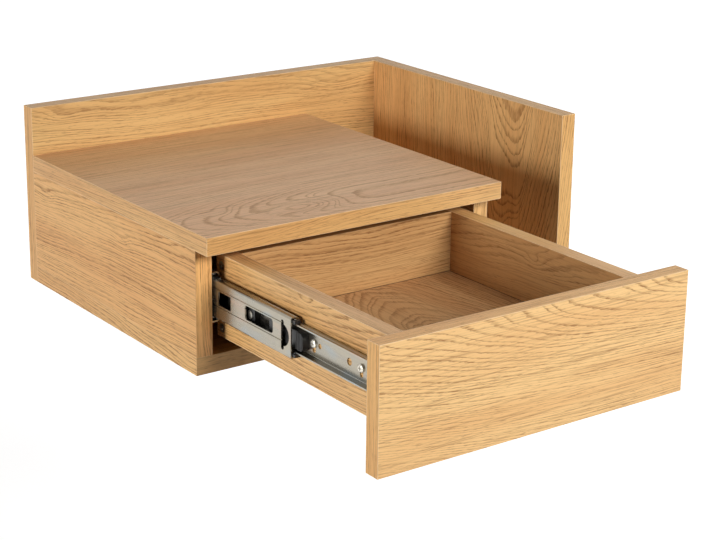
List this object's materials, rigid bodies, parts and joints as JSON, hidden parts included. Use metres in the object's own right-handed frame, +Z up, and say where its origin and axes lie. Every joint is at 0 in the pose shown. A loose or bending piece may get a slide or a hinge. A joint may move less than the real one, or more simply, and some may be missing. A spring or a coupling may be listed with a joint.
{
  "type": "floating nightstand",
  "caption": "Wall-hung nightstand with a handleless drawer on full-extension ball slides, an open side slot and a tall side wing.",
  "frame": {"origin": "middle of the four wall screw holes, on the wall face of the back panel", "axes": "+Z up, +Y into the wall, +X to the right seen from the front; the drawer opens along -Y"},
  "size_m": [0.42, 0.574, 0.174],
  "materials": {
    "oak_board": "satin oak-look laminate",
    "zinc_rail": "bright zinc plated",
    "cage_steel": "plain rolled",
    "screw_steel": "zinc plated",
    "cam_zinc": "die cast",
    "dowel_wood": "raw beech",
    "ball_steel": "polished",
    "black_plastic": "moulded",
    "black_rubber": "matt"
  },
  "bodies": {
    "cabinet": {"top_board": "oak_board", "left_side": "oak_board", "right_side": "oak_board", "bottom_board": "oak_board", "back_panel": "oak_board", "side_wing": "oak_board", "back_screws": "screw_steel", "bottom_screws": "screw_steel", "top_dowels": "dowel_wood", "left_cabinet_rail": "zinc_rail", "right_cabinet_rail": "zinc_rail", "cabinet_rail_screws": "screw_steel", "rail_bumpers": "black_rubber"},
    "drawer": {"drawer_front": "oak_board", "drawer_left_side": "oak_board", "drawer_right_side": "oak_board", "drawer_back": "oak_board", "drawer_floor": "oak_board", "drawer_dowels": "dowel_wood", "drawer_cam_housings": "cam_zinc", "drawer_cam_bolts": "screw_steel", "drawer_back_screws": "screw_steel", "left_drawer_rail": "zinc_rail", "right_drawer_rail": "zinc_rail", "drawer_rail_screws": "screw_steel", "lever_rivets": "cage_steel"},
    "left_middle_rail": {"left_middle_rail": "zinc_rail"},
    "left_outer_cage": {"left_outer_cage": "cage_steel", "left_outer_balls": "ball_steel"},
    "left_inner_cage": {"left_inner_cage": "black_plastic", "left_inner_balls": "ball_steel"},
    "left_release_lever": {"left_release_lever": "black_plastic"},
    "right_middle_rail": {"right_middle_rail": "zinc_rail"},
    "right_outer_cage": {"right_outer_cage": "cage_steel", "right_outer_balls": "ball_steel"},
    "right_inner_cage": {"right_inner_cage": "black_plastic", "right_inner_balls": "ball_steel"},
    "right_release_lever": {"right_release_lever": "black_plastic"}
  },
  "joints": [
    {"name": "drawer_slide", "type": "slide", "parent": "cabinet", "child": "drawer", "axis": [0, 1, 0], "range_m": [0, 0.24]},
    {"name": "left_middle_rail_slide", "type": "slide", "parent": "cabinet", "child": "left_middle_rail", "axis": [0, 1, 0], "range_m": [0, 0.12]},
    {"name": "left_outer_cage_slide", "type": "slide", "parent": "cabinet", "child": "left_outer_cage", "axis": [0, 1, 0], "range_m": [0, 0.06]},
    {"name": "left_inner_cage_slide", "type": "slide", "parent": "left_middle_rail", "child": "left_inner_cage", "axis": [0, 1, 0], "range_m": [0, 0.06]},
    {"name": "left_release_lever_hinge", "type": "hinge", "parent": "drawer", "child": "left_release_lever", "pos_m": [-0.1325, -0.366, 0.00225], "axis": [-1, 0, 0], "range_deg": [0, 3], "stiffness_Nm_per_rad": 0.2, "springref_deg": -2.86},
    {"name": "right_middle_rail_slide", "type": "slide", "parent": "cabinet", "child": "right_middle_rail", "axis": [0, 1, 0], "range_m": [0, 0.12]},
    {"name": "right_outer_cage_slide", "type": "slide", "parent": "cabinet", "child": "right_outer_cage", "axis": [0, 1, 0], "range_m": [0, 0.06]},
    {"name": "right_inner_cage_slide", "type": "slide", "parent": "right_middle_rail", "child": "right_inner_cage", "axis": [0, 1, 0], "range_m": [0, 0.06]},
    {"name": "right_release_lever_hinge", "type": "hinge", "parent": "drawer", "child": "right_release_lever", "pos_m": [0.1325, -0.366, 0.00225], "axis": [1, 0, 0], "range_deg": [0, 3], "stiffness_Nm_per_rad": 0.2, "springref_deg": -2.86}
  ],
  "couplings": [
    {"joint": "left_middle_rail_slide", "follows": "drawer_slide", "ratio": 0.5},
    {"joint": "left_outer_cage_slide", "follows": "drawer_slide", "ratio": 0.25},
    {"joint": "left_inner_cage_slide", "follows": "drawer_slide", "ratio": 0.25},
    {"joint": "right_middle_rail_slide", "follows": "drawer_slide", "ratio": 0.5},
    {"joint": "right_outer_cage_slide", "follows": "drawer_slide", "ratio": 0.25},
    {"joint": "right_inner_cage_slide", "follows": "drawer_slide", "ratio": 0.25}
  ]
}
